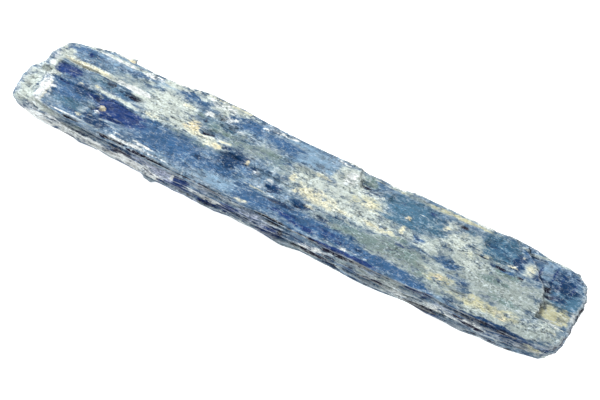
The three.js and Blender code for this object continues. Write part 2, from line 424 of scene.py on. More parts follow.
# %% Raise and lower the broad faces
HEADROOM = 0.2  # the highest scales and grains level off at this height above the shoulder
shoulder = TOP - 0.05
z += top_share * top_relief + under_share * under_relief
proud = np.maximum(z - shoulder, 0)
z = np.clip(z, 0, shoulder) + HEADROOM * (1 - np.exp(-proud / HEADROOM))
print(f"height is now {z.max():.2f} mm")

# %% [markdown]
# ## Leaves and crevices in the sides
#
# Seen from the side the leaves show their edges, some a little proud of others, and between them run
# crevices that open and close along the blade. The height of a point says which leaf it belongs to, and
# each leaf has its own slow noise along the blade for how far it stands out.

# %% Stack the leaves and open the crevices
SEAMS = np.array([0.45, 0.95, 1.45, 2.0, 2.55, 3.1, 3.6, 4.05, 4.55, 5.0])  # heights between the leaves
STAND_OUT = 0.26
CREVICE_DEPTH, CREVICE_WIDTH = 0.75, 0.13
OPEN_SEAMS = {9: 0.55, 7: 0.15, 3: 0.1}  # seams that are open along most of the blade

wander = z + 0.16 * noise(51, x / 12, 0.2) + 0.07 * noise(52, x / 4, 0.6)
leaf = np.searchsorted(SEAMS, wander)
stand_out = STAND_OUT * noise(53, x / 11, 37.3 * leaf) + 0.1 * noise(54, x / 3.5, 11.9 * leaf)
stand_out += 0.05 * noise(55, x / 2.5, 0.0, z / 0.25)
crevice = np.zeros(len(x))
for number, seam in enumerate(SEAMS):
    gape = np.clip(noise(56, x / 9, 5.7 * number) + OPEN_SEAMS.get(number, -0.1), 0, 0.7) / 0.7
    crevice = np.maximum(crevice, gape * np.exp(-(((wander - seam) / CREVICE_WIDTH) ** 2)))
side_share = np.sign(y) * ramp(5.6, 7.0, abs(y))
upright_part = 1 - ramp(TOP - 0.35, TOP - 0.1, z)
y += side_share * upright_part * (stand_out - CREVICE_DEPTH * crevice)
print(f"{(crevice > 0.5).sum()} points lie in crevices")

# %% [markdown]
# ## Broken ends
#
# The ends are snapped across the fibres, so each leaf ends at a slightly different place, in a surface of
# short stubs.

# %% Roughen the ends
STUB = 0.28
stubs = STUB * noise(61, 7.1 * leaf, y / 2.2) + 0.14 * noise(62, y / 0.5, z / 0.4)
x += np.sign(x) * ramp(half_length - 3.5, half_length - 1.0, abs(x)) * stubs

points = np.column_stack([x, y, z])
skin.vertices.foreach_set("co", points.ravel())
skin.update()
print("skin now spans", [round(float(extent), 2) for extent in np.ptp(points, axis=0)], "mm")

# %% [markdown]
# ## Where the colours lie
#
# The blue of kyanite is zoned. Clean windows show steel blue to navy, crushed and weathered parts go cream
# and nearly white, and between them lie grey-green bands and a few rust stains. Each colour gets one number
# per vertex, from 0 to 1. The finish reads these later and gives their borders a fibrous edge.

# %% Measure the faces' directions and hollows
def neighbour_mean(mesh, values, rounds):
    """Each vertex's value averaged with its neighbours', several times over."""
    edges = np.empty(2 * len(mesh.edges), dtype=np.int32)
    mesh.edges.foreach_get("vertices", edges)
    first, second = edges.reshape(-1, 2).T
    count = np.bincount(np.r_[first, second], minlength=len(values)) + 1.0
    for _ in range(rounds):
        total = values.copy()
        for axis in range(values.shape[1]):
            total[:, axis] += np.bincount(first, values[second, axis], len(values))
            total[:, axis] += np.bincount(second, values[first, axis], len(values))
        values = total / count[:, None]
    return values


normals = np.empty(3 * len(skin.vertices))
skin.vertex_normals.foreach_get("vector", normals)
normals = normals.reshape(-1, 3)
broad_normals = neighbour_mean(skin, normals, 10)
broad_normals /= np.linalg.norm(broad_normals, axis=1)[:, None]
sunk = ((neighbour_mean(skin, points, 8) - points) * broad_normals).sum(axis=1)
facing_up = ramp(0.2, 0.42, broad_normals[:, 2])
facing_front = ramp(0.2, 0.5, -broad_normals[:, 1]) * (1 - facing_up)
print(f"hollows reach {sunk.max():.2f} mm below their surroundings")

# %% Place the colours on the top face and the front side
MARKS = {
    "drab": [
        (-34.5, 4.6, 4.0, 1.0, 0.6), (-26.0, 2.5, 6.0, 3.3, 0.7), (-12.0, 2.6, 6.0, 2.2, 0.6),
        (-1.0, 1.2, 5.0, 2.6, 0.6), (-6.5, -0.6, 3.4, 0.4, 0.5), (8.0, -3.3, 6.0, 1.3, 0.8),
        (14.0, 0.0, 8.0, 2.5, 0.6), (20.0, -3.5, 9.0, 2.2, 0.85), (27.0, 0.0, 7.0, 6.0, 0.75),
        (29.0, -5.6, 5.0, 1.5, 0.85), (32.0, 2.5, 4.0, 1.2, 0.7), (36.0, -1.5, 8.5, 3.6, 1.0),
        (38.0, -5.8, 9.0, 1.8, 1.0), (46.0, -4.9, 2.8, 2.0, 0.9), (18.0, 7.1, 9.0, 0.4, 0.8),
        (20.0, -9.2, 12.0, 0.8, 0.7), (30.0, -9.6, 2.8, 0.5, 0.85), (44.5, -8.9, 3.0, 0.7, 0.6),
        (36.0, 7.3, 10.0, 0.25, 0.7), (20.9, -10.3, 1.4, 0.6, 1.0), (24.5, -10.8, 1.4, 0.5, 0.8),
        (42.9, -2.7, 1.5, 0.7, 0.9), (11.1, 1.0, 1.4, 0.6, 0.8), (-36.2, -6.0, 1.6, 0.4, 0.8),
        (-2.5, 3.2, 1.6, 0.7, 0.8), (-38.4, -1.1, 0.8, 0.6, 0.8), (-32.8, 5.5, 1.6, 0.5, 0.8),
    ],
    "sky": [
        (-45.5, 5.0, 2.6, 0.6, 0.3), (-38.5, 5.9, 5.0, 0.8, 0.4), (-44.6, -4.2, 1.4, 0.9, 0.5),
        (-40.8, -6.0, 5.5, 0.5, 0.4), (-29.0, 6.2, 2.4, 0.9, 0.8), (-27.0, -5.2, 3.0, 0.5, 0.5),
        (-17.5, -5.4, 2.0, 0.6, 0.4), (-13.0, -5.6, 3.6, 1.0, 0.95), (-11.0, 7.0, 3.0, 0.6, 0.5),
        (-1.0, 5.2, 3.5, 1.4, 1.0), (-4.0, 6.9, 6.0, 0.5, 0.7), (16.0, -7.1, 6.0, 0.5, 0.6),
        (20.0, -6.9, 2.0, 0.6, 0.6), (28.0, -7.4, 3.0, 0.5, 0.5), (41.2, 5.8, 1.1, 1.2, 0.75),
        (41.5, 3.9, 0.8, 0.8, 0.6), (-30.5, 5.2, 1.0, 0.8, 0.5), (-43.4, 5.7, 2.0, 0.6, 0.8),
        (46.8, 2.7, 1.4, 0.8, 0.9), (-6.7, -0.6, 1.6, 0.7, 0.8),
    ],
    "olive": [
        (-39.5, 2.0, 2.8, 0.6, 0.5), (-38.0, -7.9, 3.0, 0.5, 0.6), (-21.5, 4.2, 1.5, 0.9, 0.6),
        (-17.5, 3.2, 2.6, 1.4, 0.7), (-13.5, 2.6, 3.4, 1.5, 0.6), (-22.5, -0.6, 2.0, 0.9, 0.6),
        (-19.0, -0.8, 1.6, 0.7, 0.6), (-15.6, -0.6, 1.2, 0.6, 0.5), (-8.0, 2.4, 4.5, 1.4, 0.5),
        (-0.8, 2.4, 1.1, 0.8, 0.9), (8.6, 5.8, 1.5, 1.1, 0.9), (12.0, -3.5, 6.0, 1.3, 0.75),
        (19.0, -3.2, 4.5, 1.5, 0.8), (23.0, -4.2, 3.0, 1.2, 0.6), (20.5, -1.7, 3.0, 0.6, 0.6),
        (24.0, -5.5, 3.0, 0.6, 0.5), (28.5, -6.4, 3.0, 0.5, 0.5), (35.8, 1.6, 2.0, 0.6, 1.3),
        (34.0, 0.4, 1.0, 0.5, 0.5), (35.5, -2.2, 2.0, 0.4, 0.4), (6.0, -9.6, 12.0, 0.8, 0.5),
        (17.8, -1.0, 1.6, 0.5, 0.8), (34.5, -0.3, 3.0, 0.6, 0.9), (37.5, -3.0, 3.0, 0.5, 0.8),
    ],
    # the pale lilac low on the front side is painted light: the white floor's glow reflected onto the side
    "lilac": [
        (-42.0, -9.2, 8.0, 0.5, 1.0), (-33.0, -9.4, 5.0, 0.4, 1.0), (-23.5, -8.8, 4.5, 1.0, 0.8),
        (-14.5, -8.4, 2.0, 0.5, 0.4), (-12.5, -9.3, 1.4, 0.3, 0.6), (-5.5, -8.9, 3.0, 0.8, 0.6),
        (-2.0, -9.3, 1.2, 0.5, 0.8), (6.0, -9.3, 2.5, 0.4, 0.7), (30.0, -8.8, 3.0, 0.6, 0.5),
        (-47.5, -8.6, 2.4, 0.5, 0.8), (-48.6, 3.2, 0.5, 1.6, 0.6),
    ],
    "pale": [
        (-39.5, 3.4, 8.5, 0.5, 1.3), (-35.0, 0.2, 5.0, 0.35, 0.9), (-40.0, -4.3, 1.4, 0.8, 0.5),
        (-49.6, -4.0, 1.6, 4.4, 0.95), (-44.0, -7.2, 4.0, 0.6, 0.6), (-47.9, 2.0, 0.8, 2.4, 0.8),
        (-27.0, 3.0, 4.0, 3.0, 0.95), (-23.0, 1.2, 3.0, 1.4, 0.8), (-17.5, 0.3, 3.0, 0.8, 0.9),
        (-18.5, 7.9, 5.5, 0.5, 1.0), (-19.5, 5.4, 2.0, 1.0, 0.5), (5.4, 4.8, 2.0, 2.4, 1.2),
        (2.0, 2.0, 5.0, 1.8, 0.9), (6.0, 0.0, 5.0, 2.2, 0.9), (10.0, 0.2, 3.0, 2.0, 0.85),
        (9.0, 3.5, 2.4, 1.8, 0.7), (11.5, 3.0, 2.0, 2.0, 0.7), (13.2, -0.6, 3.0, 1.0, 0.9),
        (18.8, 0.2, 1.6, 0.5, 0.5), (22.0, 0.3, 2.5, 1.0, 0.6), (26.4, 3.0, 3.2, 2.3, 0.65),
        (30.0, 0.8, 3.0, 1.6, 0.6), (25.5, -3.8, 3.0, 0.8, 0.6), (38.9, 4.0, 1.2, 1.5, 0.7),
        (25.0, -9.8, 3.0, 0.3, 0.5), (33.0, 0.9, 6.0, 0.5, 0.3), (36.0, -5.6, 8.0, 0.9, 0.5),
        (-38.0, 7.0, 8.0, 0.3, 0.7), (-26.5, 7.2, 4.0, 0.5, 1.1), (-17.0, 6.9, 4.0, 0.8, 1.0),
        (-46.5, 3.8, 1.8, 0.5, 1.2), (-47.6, -6.8, 1.4, 0.8, 0.9), (-31.5, 2.6, 2.0, 1.2, 0.9),
        (6.3, 3.0, 2.8, 2.6, 1.2), (24.3, 5.6, 1.6, 1.1, 0.7), (45.5, -4.2, 2.5, 0.8, 0.6),
        (-47.4, 5.4, 1.1, 1.6, 1.4), (-47.8, -0.2, 1.5, 0.7, 1.3), (-50.5, -4.0, 0.6, 1.2, 1.2),
    ],
    "steel": [
        (-43.2, -2.2, 3.2, 2.0, 1.0), (-33.0, -5.4, 3.5, 0.5, 0.5), (-44.0, 5.8, 4.0, 0.7, 0.8),
        (-36.0, 5.9, 5.0, 0.9, 0.4), (-41.5, -5.4, 1.8, 0.5, 0.6), (-24.0, -3.0, 7.0, 2.0, 1.0),
        (-14.0, -3.2, 4.0, 1.5, 0.75), (-24.2, 6.6, 2.6, 0.9, 0.85), (-13.5, 6.2, 3.6, 1.3, 0.9),
        (-6.5, 5.3, 3.4, 1.0, 0.9), (-6.0, -5.6, 4.5, 1.4, 0.85), (4.0, -5.4, 8.0, 1.3, 0.9),
        (-9.0, -4.0, 2.0, 1.0, 0.6), (12.5, -5.9, 3.5, 0.6, 0.9), (18.0, -6.4, 5.5, 1.0, 0.95),
        (23.0, -7.0, 4.0, 0.8, 0.8), (26.6, -1.1, 2.6, 1.3, 0.6), (29.4, -3.0, 2.4, 1.0, 0.6),
        (43.0, -8.0, 3.0, 0.9, 0.6), (40.0, -9.2, 5.0, 0.5, 0.6), (33.0, -8.5, 4.0, 0.5, 0.6),
        (37.8, 6.6, 1.5, 0.7, 0.7), (31.0, -7.9, 3.0, 0.4, 0.6), (-35.2, -3.1, 1.2, 0.6, 0.6),
        (-26.0, -4.6, 4.0, 0.9, 0.8), (-10.3, -1.8, 2.0, 0.9, 0.8), (-21.0, -5.4, 3.0, 0.8, 0.7),
        (20.6, 0.5, 1.2, 0.6, 0.9), (-27.8, -1.0, 1.6, 0.7, 0.8), (16.7, -8.5, 2.0, 0.5, 0.9),
        (2.1, -7.5, 2.0, 0.5, 0.7), (35.6, 2.0, 1.4, 0.4, 0.9), (38.7, 2.5, 1.0, 0.5, 0.6),
        (20.9, -10.3, 1.6, 0.5, 0.6), (-17.6, -4.5, 1.6, 0.6, 0.7),
    ],
    "teal": [
        (17.5, 4.3, 5.0, 2.4, 1.0), (17.0, 1.9, 3.8, 0.7, 0.9), (22.5, 3.2, 2.0, 0.7, 0.8),
        (33.2, 5.2, 3.1, 2.1, 1.1), (-19.0, 3.2, 1.6, 1.2, 0.5), (46.2, 1.6, 3.0, 1.7, 1.0),
        (27.5, 5.7, 1.0, 0.6, 0.6), (-16.0, 3.8, 2.0, 0.6, 0.6), (-42.0, -4.4, 3.2, 1.2, 0.8),
        (-38.0, 4.9, 6.0, 0.6, 0.45), (-37.5, 1.6, 4.5, 0.8, 0.7), (8.0, -2.9, 4.5, 0.7, 0.5),
        (-12.0, 3.3, 3.0, 0.4, 0.5), (-9.0, 1.2, 3.5, 0.5, 0.4),
    ],
    "navy": [
        (-40.8, -1.2, 2.2, 0.8, 1.0), (-36.4, -5.0, 2.4, 1.0, 1.15), (-40.5, -5.4, 2.0, 0.4, 0.6),
        (-33.5, 1.7, 2.4, 0.6, 0.7), (-36.4, -8.1, 3.4, 0.5, 0.5), (-33.8, -7.8, 1.0, 0.35, 1.0),
        (-29.6, -8.3, 2.3, 0.6, 1.2), (-44.5, -7.7, 1.6, 0.5, 0.6), (-13.5, -7.8, 3.0, 0.35, 0.9),
        (-6.0, -9.6, 6.0, 0.5, 0.8), (-12.9, -0.9, 2.4, 1.9, 0.9), (-18.0, -2.9, 1.0, 0.8, 0.5),
        (-16.5, 3.6, 1.5, 0.6, 0.5), (-4.6, -2.3, 1.4, 0.9, 1.0), (-9.0, -0.8, 1.5, 0.7, 0.6),
        (0.8, -3.1, 1.8, 0.6, 0.9), (-2.4, -4.4, 2.6, 0.35, 1.0), (5.0, -3.7, 1.2, 0.5, 0.8),
        (-0.5, -5.6, 3.0, 0.6, 0.5), (20.5, 5.6, 1.2, 0.8, 0.55), (13.0, -5.9, 0.9, 0.3, 0.7),
        (29.8, -3.4, 1.6, 0.5, 0.5), (31.0, -8.0, 2.0, 0.3, 0.5), (36.6, 4.4, 1.1, 1.5, 0.95),
        (14.0, -8.3, 5.0, 0.3, 0.8), (39.3, 6.4, 1.4, 0.7, 0.6), (40.4, 4.7, 0.4, 1.2, 0.8),
        (40.8, 3.4, 1.3, 0.5, 0.9), (45.1, 4.4, 2.9, 2.6, 0.8), (44.6, 1.4, 2.0, 0.7, 0.8),
        (38.5, -7.7, 5.8, 0.5, 1.2), (38.5, -8.25, 5.6, 0.55, 1.5), (37.5, -9.1, 6.0, 0.5, 0.6),
        (31.5, -3.2, 2.2, 0.6, 0.4), (33.0, 2.1, 2.2, 0.4, 0.6), (27.0, -10.4, 2.6, 0.22, 0.9),
        (9.0, -4.5, 4.5, 0.3, 0.55), (6.0, -2.3, 3.0, 0.2, 0.5), (14.5, -4.9, 3.0, 0.25, 0.5),
        (17.5, -2.0, 2.5, 0.3, 0.5), (33.2, 5.2, 2.8, 1.7, 0.55), (-29.4, -8.6, 2.2, 0.45, 1.0),
    ],
    "royal": [
        (-45.4, 1.3, 2.2, 0.9, 1.1), (-33.6, -1.6, 4.2, 1.1, 1.3), (-34.2, -3.0, 3.2, 0.8, 1.3),
        (-43.4, 5.5, 0.5, 0.4, 0.6), (-44.5, -1.0, 2.0, 0.25, 0.6), (-44.5, -2.1, 2.0, 0.2, 0.5),
        (-39.3, -1.4, 1.2, 0.6, 0.6), (-18.5, -9.1, 1.2, 0.9, 1.6), (-21.5, -9.8, 3.0, 0.3, 0.7),
        (-29.5, -2.6, 1.2, 0.6, 0.7), (-16.0, -9.9, 2.5, 0.2, 0.8), (-24.0, -10.2, 1.2, 0.35, 0.8),
        (-9.4, -9.3, 1.6, 0.6, 1.1), (-1.4, -9.7, 2.2, 0.7, 1.2), (-13.0, -9.95, 2.2, 0.3, 0.9),
        (-1.0, -5.9, 2.6, 0.5, 0.7), (7.0, -5.6, 3.5, 0.7, 0.5), (3.0, -6.4, 3.0, 0.4, 0.7),
        (11.0, -7.65, 5.0, 0.34, 1.4), (0.6, -9.8, 2.2, 0.4, 0.9), (10.0, -6.2, 2.0, 0.3, 0.5),
        (15.5, 5.2, 0.8, 0.5, 0.4), (20.7, 5.7, 0.8, 0.5, 0.5), (23.5, -8.15, 2.8, 0.3, 1.3),
        (26.7, -7.7, 0.8, 0.24, 0.9), (18.2, -1.9, 1.2, 0.3, 0.5), (28.0, -10.4, 2.4, 0.2, 0.7),
        (42.7, 5.2, 0.25, 1.6, 0.7), (44.2, 4.8, 0.25, 2.2, 0.6), (46.5, 4.4, 0.3, 2.2, 0.6),
        (43.0, -7.5, 1.2, 0.25, 0.6), (40.3, 4.8, 0.25, 1.0, 0.8), (-21.5, -9.0, 0.8, 0.4, 0.4),
        (-34.0, -7.8, 0.6, 0.25, 0.7),
    ],
    "straw": [
        (45.8, -1.6, 2.5, 1.5, 1.1), (36.0, -5.2, 6.0, 0.9, 0.75), (31.5, -5.6, 4.0, 0.7, 0.6),
        (45.5, -8.6, 2.0, 0.6, 0.6), (10.5, 2.6, 2.2, 1.3, 0.6), (8.2, 2.0, 1.4, 1.0, 0.6),
        (24.0, 7.2, 7.0, 0.35, 0.65), (14.0, -0.5, 4.0, 1.0, 0.5), (26.5, -4.2, 2.4, 0.8, 0.7),
        (23.0, -3.6, 2.0, 0.6, 0.4), (28.5, 2.4, 3.0, 1.5, 0.4), (12.0, 7.0, 3.0, 0.3, 0.6),
        (-8.0, -7.9, 2.0, 0.25, 0.5),
    ],
    "cream": [
        (-42.5, 3.45, 4.5, 0.32, 1.2), (-39.3, 0.6, 0.9, 0.35, 0.7), (-42.0, -0.1, 0.6, 0.25, 0.7),
        (-46.7, -4.0, 0.5, 2.4, 0.8), (-39.5, -5.4, 0.7, 0.5, 0.6), (-24.8, 4.8, 1.8, 0.9, 0.55),
        (-29.0, 0.2, 2.5, 0.6, 0.5), (-20.5, 0.8, 2.2, 0.5, 0.8), (-17.2, 0.0, 1.8, 0.8, 0.7),
        (-15.8, 1.35, 1.6, 0.25, 0.6), (-23.5, 2.2, 1.0, 0.5, 0.6), (-18.0, 8.3, 6.0, 0.25, 0.8),
        (1.4, -0.2, 3.0, 1.5, 0.95), (-2.8, 1.2, 0.8, 0.8, 0.8), (2.0, 3.4, 2.5, 0.4, 0.7),
        (4.5, -0.6, 2.0, 1.3, 0.65), (10.5, 2.4, 1.6, 1.0, 0.6), (7.0, -1.0, 2.5, 0.6, 0.6),
        (2.2, -2.6, 1.2, 0.4, 0.7), (-8.2, -6.8, 1.6, 0.4, 0.6), (-7.0, -3.6, 2.2, 0.25, 0.55),
        (13.3, -0.7, 2.6, 0.6, 0.7), (23.5, 4.6, 1.0, 0.6, 0.7), (29.0, 3.4, 3.0, 0.5, 0.5),
        (17.4, 0.7, 0.5, 0.8, 0.7), (38.9, 4.2, 1.0, 1.0, 0.6), (31.5, 3.0, 2.6, 0.4, 0.6),
        (36.0, 3.2, 1.2, 0.3, 0.7), (37.5, -5.2, 1.5, 0.4, 0.7), (47.2, -4.6, 0.8, 1.2, 0.5),
        (26.5, 4.6, 1.2, 0.8, 0.5),
    ],
    "chalk": [
        (-47.3, -3.5, 0.85, 3.3, 1.0), (-48.4, 2.2, 0.55, 2.2, 0.7), (-33.8, 3.3, 3.4, 0.45, 1.2),
        (-32.0, 6.8, 1.6, 0.5, 1.0), (-37.0, 6.9, 2.0, 0.25, 0.8), (-41.0, 6.9, 1.5, 0.25, 0.7),
        (-40.2, -4.1, 0.9, 0.35, 0.5), (-42.0, -6.15, 5.0, 0.16, 0.75), (-37.0, -3.5, 0.6, 0.3, 0.7),
        # the two long chalk marks low on the front side at the left, like the lilac there, are painted floor
        # light reflected onto the side
        (-42.0, -9.0, 8.0, 0.8, 1.2), (-30.0, -9.3, 7.0, 0.6, 1.2), (-20.0, 7.4, 1.3, 0.6, 0.9),
        (-17.5, 7.3, 1.2, 0.6, 0.9), (-20.4, 5.2, 1.0, 0.6, 0.8), (-17.0, 5.2, 0.6, 0.5, 0.6),
        (-16.2, 4.4, 1.2, 0.2, 0.6), (-14.6, 4.3, 0.8, 0.2, 0.8), (-12.0, 4.4, 1.0, 0.15, 0.7),
        (-27.5, -5.6, 2.6, 0.3, 0.85), (-29.5, -6.4, 3.5, 0.35, 1.0), (-25.0, -6.5, 4.0, 0.25, 0.7),
        (-12.6, -9.3, 1.9, 0.42, 1.2), (-19.9, -8.4, 0.3, 0.5, 0.9), (-14.0, -9.2, 2.5, 0.3, 0.5),
        (-5.8, -1.2, 0.7, 0.4, 0.85), (-8.2, -1.0, 0.8, 0.3, 0.7), (-4.6, -3.8, 2.4, 0.2, 0.55),
        (-6.5, -3.1, 0.8, 0.25, 0.5), (5.7, 5.0, 1.2, 1.5, 0.85), (4.0, 7.4, 2.5, 0.3, 0.7),
        (10.5, -6.9, 1.4, 0.3, 0.8), (7.5, -6.6, 0.8, 0.3, 0.7), (5.5, -9.2, 2.6, 0.35, 0.7),
        (9.0, 4.0, 1.6, 0.25, 0.6), (13.5, -6.9, 2.4, 0.3, 0.5), (19.5, 4.6, 1.6, 0.08, 0.6),
        (23.0, -9.7, 2.2, 0.22, 0.8), (17.0, -6.8, 1.5, 0.2, 0.4), (46.0, -3.15, 2.2, 0.16, 0.7),
        (43.1, -1.8, 0.2, 1.4, 0.7), (-16.5, -2.6, 2.5, 0.1, 0.5), (-47.7, -7.8, 2.0, 0.5, 0.7),
        (-45.9, -3.5, 0.7, 2.2, 0.55), (-31.2, -5.6, 2.0, 0.5, 0.6), (29.8, -9.6, 2.8, 0.45, 0.9),
        (34.2, -9.1, 2.0, 0.45, 0.9), (8.0, -9.0, 2.0, 0.45, 0.9), (32.1, -8.2, 1.5, 0.4, 0.7),
        (-23.5, -9.7, 2.0, 0.4, 0.9), (48.8, -0.4, 0.6, 1.2, 0.8), (-9.3, 7.1, 2.0, 0.4, 0.8),
        (-25.3, 7.0, 2.0, 0.4, 0.6), (-43.4, 5.9, 1.6, 0.4, 0.4), (-16.8, 5.8, 1.4, 0.5, 0.7),
        (-6.8, 7.3, 2.0, 0.35, 0.8), (-20.1, 7.9, 2.5, 0.4, 0.7),
    ],
    "tan": [
        (-36.5, -2.6, 0.7, 0.6, 1.1), (-36.8, 7.75, 0.9, 0.3, 0.95), (-21.8, 1.7, 1.5, 0.9, 0.95),
        (-17.1, 0.1, 0.7, 0.9, 0.6), (-10.6, -0.3, 0.4, 0.6, 0.75), (-16.2, 0.1, 0.8, 0.6, 0.5),
        (17.3, 3.0, 0.7, 0.5, 0.8), (26.3, -4.1, 0.8, 0.5, 0.95), (38.6, -5.9, 0.8, 0.35, 0.9),
        (37.0, 5.6, 0.5, 0.4, 0.6), (47.5, -8.2, 0.6, 0.6, 0.4), (1.5, 0.2, 1.2, 0.8, 0.4),
        (-41.5, 3.5, 2.6, 0.12, 0.6), (22.4, -9.0, 0.2, 0.2, 0.6),
    ],
    # The dark marks are partly dark seams and partly painted shade: the clefts along the front rim, the line
    # under the cream band and the wedge beside it are painted shadow.
    "dark": [
        (-40.1, -6.65, 1.7, 0.22, 1.2), (-32.0, -6.95, 2.6, 0.22, 1.1), (-33.2, 1.65, 1.7, 0.32, 0.9),
        (-41.0, 2.8, 6.0, 0.1, 0.8), (-37.0, 2.0, 4.8, 0.7, 0.62), (-42.3, 1.2, 0.9, 0.9, 0.45),
        (-37.8, -1.4, 0.5, 0.5, 0.75), (-37.9, -4.4, 0.5, 1.2, 0.6), (-36.0, -4.8, 1.6, 0.5, 0.5),
        (-45.5, -8.1, 2.0, 0.12, 0.8), (-37.0, -8.2, 3.0, 0.25, 0.6), (-29.8, -8.35, 1.9, 0.42, 1.0),
        (-36.4, -7.6, 1.2, 0.15, 0.6), (-27.5, -7.15, 3.2, 0.2, 1.0), (-24.0, -7.3, 3.0, 0.22, 1.0),
        (-19.5, -7.35, 3.2, 0.22, 1.1), (-14.5, -7.5, 5.0, 0.22, 1.0), (-25.0, 1.5, 1.6, 0.12, 0.7),
        (-18.6, 1.55, 1.2, 0.35, 0.9), (-18.2, 5.4, 0.5, 0.4, 0.7), (-20.0, 4.6, 0.8, 0.2, 0.6),
        (-20.4, 3.4, 0.4, 0.8, 0.6), (-15.0, 0.6, 1.4, 0.12, 0.6), (-12.5, -10.0, 2.4, 0.12, 0.7),
        (-16.5, -8.0, 3.0, 0.3, 0.5), (-19.0, -3.6, 0.5, 1.0, 0.4), (-14.5, -10.4, 6.0, 0.1, 0.6),
        (-9.0, -7.5, 1.5, 0.15, 0.8), (-2.0, -7.5, 3.5, 0.2, 1.0), (4.0, -7.75, 4.5, 0.22, 1.0),
        (9.5, -8.4, 3.0, 0.2, 1.0), (0.4, -3.4, 1.2, 0.2, 0.6), (-3.0, -4.5, 1.8, 0.15, 0.7),
        (8.5, 5.0, 1.3, 0.2, 0.8), (7.5, 5.8, 0.4, 0.7, 0.5), (0.5, -9.2, 0.8, 0.4, 0.8),
        (-8.0, -8.1, 0.8, 0.3, 0.5), (-2.0, -10.4, 3.0, 0.12, 0.6), (6.0, -9.9, 4.5, 0.35, 0.9),
        (10.0, -10.3, 4.0, 0.15, 0.7), (20.4, 0.6, 0.7, 0.45, 0.7), (12.8, 1.3, 0.9, 0.25, 0.6),
        (15.5, 1.3, 1.5, 0.12, 0.6), (26.0, 6.0, 0.9, 0.3, 0.8), (27.4, 5.7, 0.6, 0.4, 0.5),
        (30.8, 2.65, 1.5, 0.15, 0.8), (14.5, -8.4, 6.0, 0.26, 1.3), (18.0, -9.8, 3.0, 0.3, 1.1),
        (24.0, -10.3, 1.0, 0.2, 0.8), (26.8, -10.3, 2.4, 0.3, 1.2), (34.8, 2.1, 1.3, 0.3, 1.0),
        (38.0, 2.0, 0.7, 0.3, 0.9), (35.8, -0.3, 1.1, 0.4, 0.5), (36.5, -8.1, 3.5, 0.3, 1.0),
        (41.0, -7.95, 2.5, 0.26, 0.9), (44.8, -6.9, 0.8, 0.15, 0.8), (32.5, -9.1, 1.0, 0.22, 1.0),
        (35.5, -9.5, 1.8, 0.22, 1.0), (31.0, -7.0, 2.0, 0.1, 0.7), (42.6, 2.3, 0.9, 0.7, 0.9),
        (43.6, 1.3, 0.8, 0.6, 0.7), (41.8, 2.6, 0.4, 0.3, 0.6), (18.0, 7.45, 4.0, 0.08, 0.6),
        (37.0, -10.4, 7.0, 0.12, 0.6),
    ],
}
placed = {name: patches(marks) for name, marks in MARKS.items()}
for name, field in placed.items():
    print(f"{name}: {len(MARKS[name])} marks, mean {field[facing_up > 0.5].mean():.2f} over the top")

# %% [markdown]
# ## The pale rear rim, frayed and with a painted highlight
#
# Along the rear edge the leaves have frayed to white and cream, and the pale rim is also a painted highlight
# where the edge catches the lamp. This rim follows the edge wherever it goes, so it isn't a list of marks.
# The blade is cut into short columns, the rearmost point of each column is found, and a point belongs to the
# rim by how close it lies to that. Slow noise makes the rim come and go.

# %% Find the rear rim
COLUMN = 0.5  # length of a column in millimetres
RIM_FULL, RIM_GONE = 0.4, 1.3  # how far in from the edge the rim is full, and where it ends
RIM_ON_TOP = {"cream": 0.7, "chalk": 0.68}

columns = np.round((x - x.min()) / COLUMN).astype(int)
rear_line = np.full(columns.max() + 1, -np.inf)
np.maximum.at(rear_line, columns, y)
# The rim is partly frayed leaves and partly a painted highlight along the lit rear edge.
rim = 1 - ramp(RIM_FULL, RIM_GONE, rear_line[columns] - y)
rim *= np.clip(0.85 + 0.6 * noise(48, x / 6, 0.4), 0, 1)
rim *= 1 - 0.5 * ramp(28, 36, pattern_x)
for name, amount in RIM_ON_TOP.items():
    placed[name] = np.maximum(placed[name], amount * rim)
print(f"the rim covers {100 * rim[facing_up > 0.5].mean():.0f}% of the top face")

# %% [markdown]
# ## Colours on the sides that the pattern does not reach
#
# The rear side, the ends and the underside have no marks of their own. Slow noise chooses their colours, and
# part of it differs from leaf to leaf. The pale rim, frayed leaves with a painted highlight, runs on down the
# upper part of the rear side, and the broken right end, which faces away from the lamp, gets painted shade,
# the uppermost leaves above all.

# %% Let noise choose the other sides
leaf_tint = noise(71, x / 9, 23.7 * leaf) + 0.6 * noise(72, x / 3, 9.1 * leaf, y / 4)
patchwork = noise(73, x / 16, y / 2.6, z / 2.2) + 0.5 * noise(74, x / 6, y / 1.1, z / 1.1)
